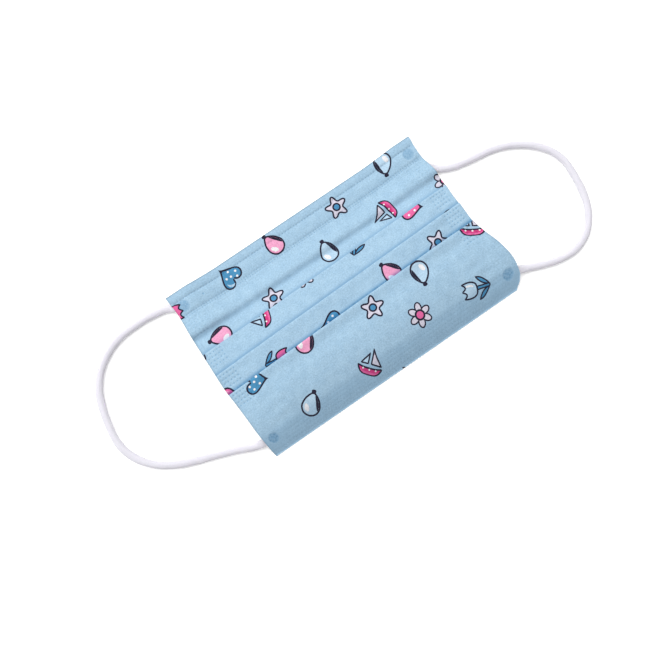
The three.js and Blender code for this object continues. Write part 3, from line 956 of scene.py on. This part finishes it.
# The camera
camera_data = bpy.data.cameras.new("camera")
camera = bpy.data.objects.new("camera", camera_data)
bpy.context.collection.objects.link(camera)
camera_data.sensor_width = SENSOR_WIDTH
camera_data.lens = SENSOR_WIDTH * FOCAL_PIXELS / IMAGE_SIZE
back = Vector((
    math.sin(CAMERA_AZIMUTH) * math.cos(CAMERA_ELEVATION),
    -math.cos(CAMERA_AZIMUTH) * math.cos(CAMERA_ELEVATION),
    math.sin(CAMERA_ELEVATION),
))
camera.location = (CAMERA_TARGET + back * CAMERA_DISTANCE) * MM
camera.rotation_mode = "QUATERNION"
camera.rotation_quaternion = (-back).to_track_quat("-Z", "Y")
camera_data.clip_start, camera_data.clip_end = CAMERA_CLIP
bpy.context.scene.camera = camera


# The ear loops' meshes
CORD_SIDES = 24
CORD_STEP = 0.45
CORD_RIBS = 8
CORD_RIB_DEPTH = 0.05
RIB_TWIST = 0.05             # how fast the ribs swing round the cord, and how far
RIB_SWING = 0.35
CORD_SWELLS = ((0.03, 0.21, 0.0), (0.02, 0.57, 1.0))    # of its thickness: share, wave and phase
FLATTENED_END = 8.0          # the last stretch of a loop, which flattens towards its pressed end
FLATTENED_WIDER = 0.25
FLATTENED_LOWER = 0.62
CAP_LENGTH = 0.5             # of the round caps that close a cord, and their rings' angles
CAP_RINGS = np.radians((72, 48, 24))
# A loop's end, pressed to a disc
PRESSED_DIAMETER = 5.0
PRESSED_THICKNESS = 1.2
PRESSED_INSET = 5.0          # from a side edge
PRESSED_SETBACK = 8.0        # from the nose edge or the chin edge
PRESSED_SIDES = 40
PRESSED_RINGS = 25
PRESSED_ROUNDING = 0.6       # 1 is a round rim and less is a boxier one
PRESSED_PIT = 0.14           # depth of its pits, and the width over which they fade at the rim
PIT_FADE = 0.8
PRESSED_MERGE = 1e-6         # in metres, joins the points at each pole


def centripetal(points, step):
    """Points close together on the smooth curve that the frame's loops follow."""
    p = [np.array(q, float) for q in points]
    p = [2 * p[0] - p[1], *p, 2 * p[-1] - p[-2]]
    out = []
    for i in range(1, len(p) - 2):
        a, b, c, d = p[i - 1:i + 3]
        t0, t1, t2 = (math.sqrt(np.linalg.norm(v - u)) for u, v in ((a, b), (b, c), (c, d)))
        m0 = ((b - a) / t0 - (c - a) / (t0 + t1) + (c - b) / t1) * t1
        m1 = ((c - b) / t1 - (d - b) / (t1 + t2) + (d - c) / t2) * t1
        n = max(2, round(np.linalg.norm(c - b) / step))
        for t in np.arange(n) / n:
            out.append((2 * t**3 - 3 * t**2 + 1) * b + (t**3 - 2 * t**2 + t) * m0
                       + (3 * t**2 - 2 * t**3) * c + (t**3 - t**2) * m1)
    out.append(p[-2])
    return np.array(out)


def pressed_place(side, depth):
    """(centre, upward direction) of a loop's pressed end, against the underside of the cloth."""
    share = side * (1 - PRESSED_INSET / HALF_LENGTH)
    step = PRESSED_DIAMETER / 2
    low, high = underside(share, np.array([depth + step, depth - step]))
    normal = np.array([0, -(high - low), 2 * step])
    normal /= np.linalg.norm(normal)
    down = PIECE_GAP + PRESSED_THICKNESS / 2
    x = sideways(side, np.array([depth]))[0] - side * PRESSED_INSET
    surface = np.array([x, PANEL_DEPTH / 2 - depth, underside(share, np.array([depth]))[0]])
    return surface - normal * down, normal


def tube_faces(rings, sides):
    """Quads between rings of points that follow each other."""
    faces = []
    for i in range(rings - 1):
        for j in range(sides):
            a, b = i * sides + j, i * sides + (j + 1) % sides
            faces.append((a, b, b + sides, a + sides))
    return faces


def ear_loop(name, route, side, material):
    """A loop's cord, which flattens and rises to meet its pressed ends."""
    path = centripetal(route, CORD_STEP) - (0, 0, CORD_SETTLES)
    length = np.concatenate([[0], np.cumsum(np.linalg.norm(np.diff(path, axis=0), axis=1))])
    up = np.tile((0.0, 0.0, 1.0), (len(path), 1))
    flat = np.zeros(len(path))
    for end, from_end, depth in ((0, length, PRESSED_SETBACK),
                                 (-1, length[-1] - length, PANEL_DEPTH - PRESSED_SETBACK)):
        centre, normal = pressed_place(side, depth)
        near = 1 - smooth_step(from_end / FLATTENED_END)
        flat += near
        up += near[:, None] * (normal - (0, 0, 1))
        path[:, 2] += near * (centre[2] - path[end, 2])
    tangent = np.gradient(path, axis=0)
    tangent /= np.linalg.norm(tangent, axis=1)[:, None]
    across_axis = np.cross(tangent, up)
    across_axis /= np.linalg.norm(across_axis, axis=1)[:, None]
    up = np.cross(across_axis, tangent)
    angle = 2 * math.pi * np.arange(CORD_SIDES) / CORD_SIDES
    verts, uv = [], []

    def add_ring(i, shift=0.0, size=1.0):
        ribs = CORD_RIBS * (angle + RIB_SWING * math.sin(RIB_TWIST * length[i]))
        knit = 1 + CORD_RIB_DEPTH / (CORD_DIAMETER / 2) * np.cos(ribs)
        soft = 1 + sum(part * math.sin(wave * length[i] + phase) for part, wave, phase in CORD_SWELLS)
        across = CORD_WIDTH / 2 * (1 + FLATTENED_WIDER * flat[i]) * soft * np.cos(angle) * knit * size
        high = CORD_HEIGHT / 2 * (1 - FLATTENED_LOWER * flat[i]) / soft * np.sin(angle) * knit * size
        centre = path[i] + shift * tangent[i]
        verts.append(centre + across[:, None] * across_axis[i] + high[:, None] * up[i])
        uv.append(np.stack([np.full(CORD_SIDES, length[i] + shift), angle * CORD_DIAMETER / 2], axis=1))

    for a in CAP_RINGS:
        add_ring(0, -CAP_LENGTH * math.sin(a), math.cos(a))
    for i in range(len(path)):
        add_ring(i)
    for a in CAP_RINGS[::-1]:
        add_ring(-1, CAP_LENGTH * math.sin(a), math.cos(a))
    last = (len(verts) - 1) * CORD_SIDES
    faces = tube_faces(len(verts), CORD_SIDES)
    faces.append(tuple(range(CORD_SIDES))[::-1])
    faces.append(tuple(range(last, last + CORD_SIDES)))
    cord = new_mesh(name, np.concatenate(verts), faces, [material])
    add_uv(cord.data, np.concatenate(uv))
    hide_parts(name)
    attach(cord, "root")


def pressed_end(name, side, depth, material):
    """A loop's end pressed to a soft disc, with the weld's small pits on its free side."""
    centre, normal = pressed_place(side, depth)
    along = np.array([1.0, 0, 0])
    over = np.cross(normal, along)
    radius, half = PRESSED_DIAMETER / 2, PRESSED_THICKNESS / 2
    angle = 2 * math.pi * np.arange(PRESSED_SIDES) / PRESSED_SIDES
    verts, uv = [], []
    for turn in np.radians(np.linspace(-90, 90, PRESSED_RINGS)):
        out = radius * math.cos(turn) ** PRESSED_ROUNDING
        x, y = out * np.cos(angle), out * np.sin(angle)
        rise = math.copysign(abs(math.sin(turn)) ** PRESSED_ROUNDING, turn)
        height = np.full(PRESSED_SIDES, half * rise)
        if turn < 0:
            height += PRESSED_PIT * pit_pattern(x, y) * smooth_step((radius - out) / PIT_FADE)
        verts.append(centre + x[:, None] * along + y[:, None] * over + height[:, None] * normal)
        uv.append(np.stack([x, y + height], axis=1))
    end = new_mesh(name, np.concatenate(verts), tube_faces(PRESSED_RINGS, PRESSED_SIDES), [material])
    add_uv(end.data, np.concatenate(uv))
    edit = bmesh.new()
    edit.from_mesh(end.data)
    bmesh.ops.remove_doubles(edit, verts=edit.verts, dist=PRESSED_MERGE)
    edit.to_mesh(end.data)
    edit.free()
    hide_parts(name)
    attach(end, "root")


elastic_white = elastic("elastic_white")
for name, route, side in (("left", LEFT_ROUTE, -1), ("right", RIGHT_ROUTE, 1)):
    ear_loop("ear_loop_" + name, route, side, elastic_white)
    pressed_end("loop_end_nose_" + name, side, PRESSED_SETBACK, elastic_white)
    pressed_end("loop_end_chin_" + name, side, PANEL_DEPTH - PRESSED_SETBACK, elastic_white)


def make_panel():
    """The cloth: its printed outer side, its plain inner side and the cut edge that joins them."""
    dots = weld_dots()
    flat, faces, ink = outer_plan(print_layout(), dots)
    border = border_of(flat)
    inner_flat, inner_faces = inner_plan(flat[border])
    inner_border = border_of(inner_flat)
    place, out = cloth_frame(flat[:, 0], flat[:, 1])
    pressed, mark = press(flat[:, 0], flat[:, 1], dots)
    # weld marks, plus painted shade at the fold edges, in the nose valley and on the chin hem
    mark = mark + painted_shade_and_hem(flat[:, 0], flat[:, 1])
    outer = place + out * (CLOTH_WALL / 2 - pressed)[:, None]
    rim = place[border]
    place, out = cloth_frame(inner_flat[:, 0], inner_flat[:, 1])
    inner = place - out * CLOTH_WALL / 2
    verts = np.concatenate([outer, rim, inner])
    first_inner = len(outer) + len(rim)
    middle = np.arange(len(rim)) + len(outer)
    rims = []
    for i in range(len(rim)):
        j = (i + 1) % len(rim)
        rims.append((border[i], border[j], middle[j], middle[i]))
        rims.append((middle[i], middle[j], first_inner + inner_border[j], first_inner + inner_border[i]))
    inner_side = inner_faces[:, ::-1] + first_inner
    white = len(INKS)
    slots = np.concatenate([ink, np.full(len(rims), white + 1), np.full(len(inner_side), white)])
    materials = [nonwoven("cloth_" + name, colour) for name, colour in INKS.items()]
    materials.append(nonwoven("inner_white", INNER_WHITE))
    materials.append(nonwoven("cut_edge", CUT_EDGE))
    panel = new_mesh("pleated_cloth", verts, [*faces, *rims, *inner_side], materials, slots)
    add_uv(panel.data, np.concatenate([flat, flat[border], inner_flat]))
    # The 'pressed' attribute holds the weld marks and the painted shade together
    press_and_shade_marks = np.concatenate([mark, np.zeros(len(rim) + len(inner))]).astype(np.float32)
    panel.data.attributes.new("pressed", "FLOAT", "POINT").data.foreach_set("value", press_and_shade_marks)
    return panel


panel = make_panel()
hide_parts("pleated_panel")
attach(panel, "root")

# Floor and light
FLOOR_SIZE = 60.0            # in metres
FLOOR_GLOW = 0.20            # keeps the floor as white as the photo's
WHITE = (1, 1, 1, 1)
FILL_STRENGTH = 0.18         # of the light from all round
BACKDROP_STRENGTH = 1.0      # of the white that the camera sees past the floor
KEY_STRENGTH = 3.95
KEY_SOFTNESS = math.radians(75)
KEY_FROM = (-0.10, 0.44, 1.0)
bpy.ops.mesh.primitive_plane_add(size=FLOOR_SIZE)
floor = bpy.context.object
floor.name = "floor"
floor.data.materials.append(new_material("floor", {
    "Base Color": (0.93, 0.93, 0.93, 1), "Roughness": 0.9, "Specular IOR Level": 0.1,
    "Emission Color": WHITE, "Emission Strength": FLOOR_GLOW,
})[0])

world = bpy.data.worlds.new("studio")
bpy.context.scene.world = world
world.use_nodes = True
backdrop = world.node_tree.nodes["Background"]
set_inputs(backdrop, {"Color": WHITE})
ray = add_node(world.node_tree, "ShaderNodeLightPath")
seen = add_node(world.node_tree, "ShaderNodeMapRange", {"To Min": FILL_STRENGTH, "To Max": BACKDROP_STRENGTH})
world.node_tree.links.new(ray.outputs["Is Camera Ray"], seen.inputs["Value"])
world.node_tree.links.new(seen.outputs["Result"], backdrop.inputs["Strength"])

key_data = bpy.data.lights.new("key", "SUN")
key_data.energy = KEY_STRENGTH
key_data.angle = KEY_SOFTNESS
key = bpy.data.objects.new("key", key_data)
key.rotation_mode = "QUATERNION"
key.rotation_quaternion = (-Vector(KEY_FROM)).to_track_quat("-Z", "Y")
bpy.context.collection.objects.link(key)
bpy.context.scene.view_settings.view_transform = "Standard"
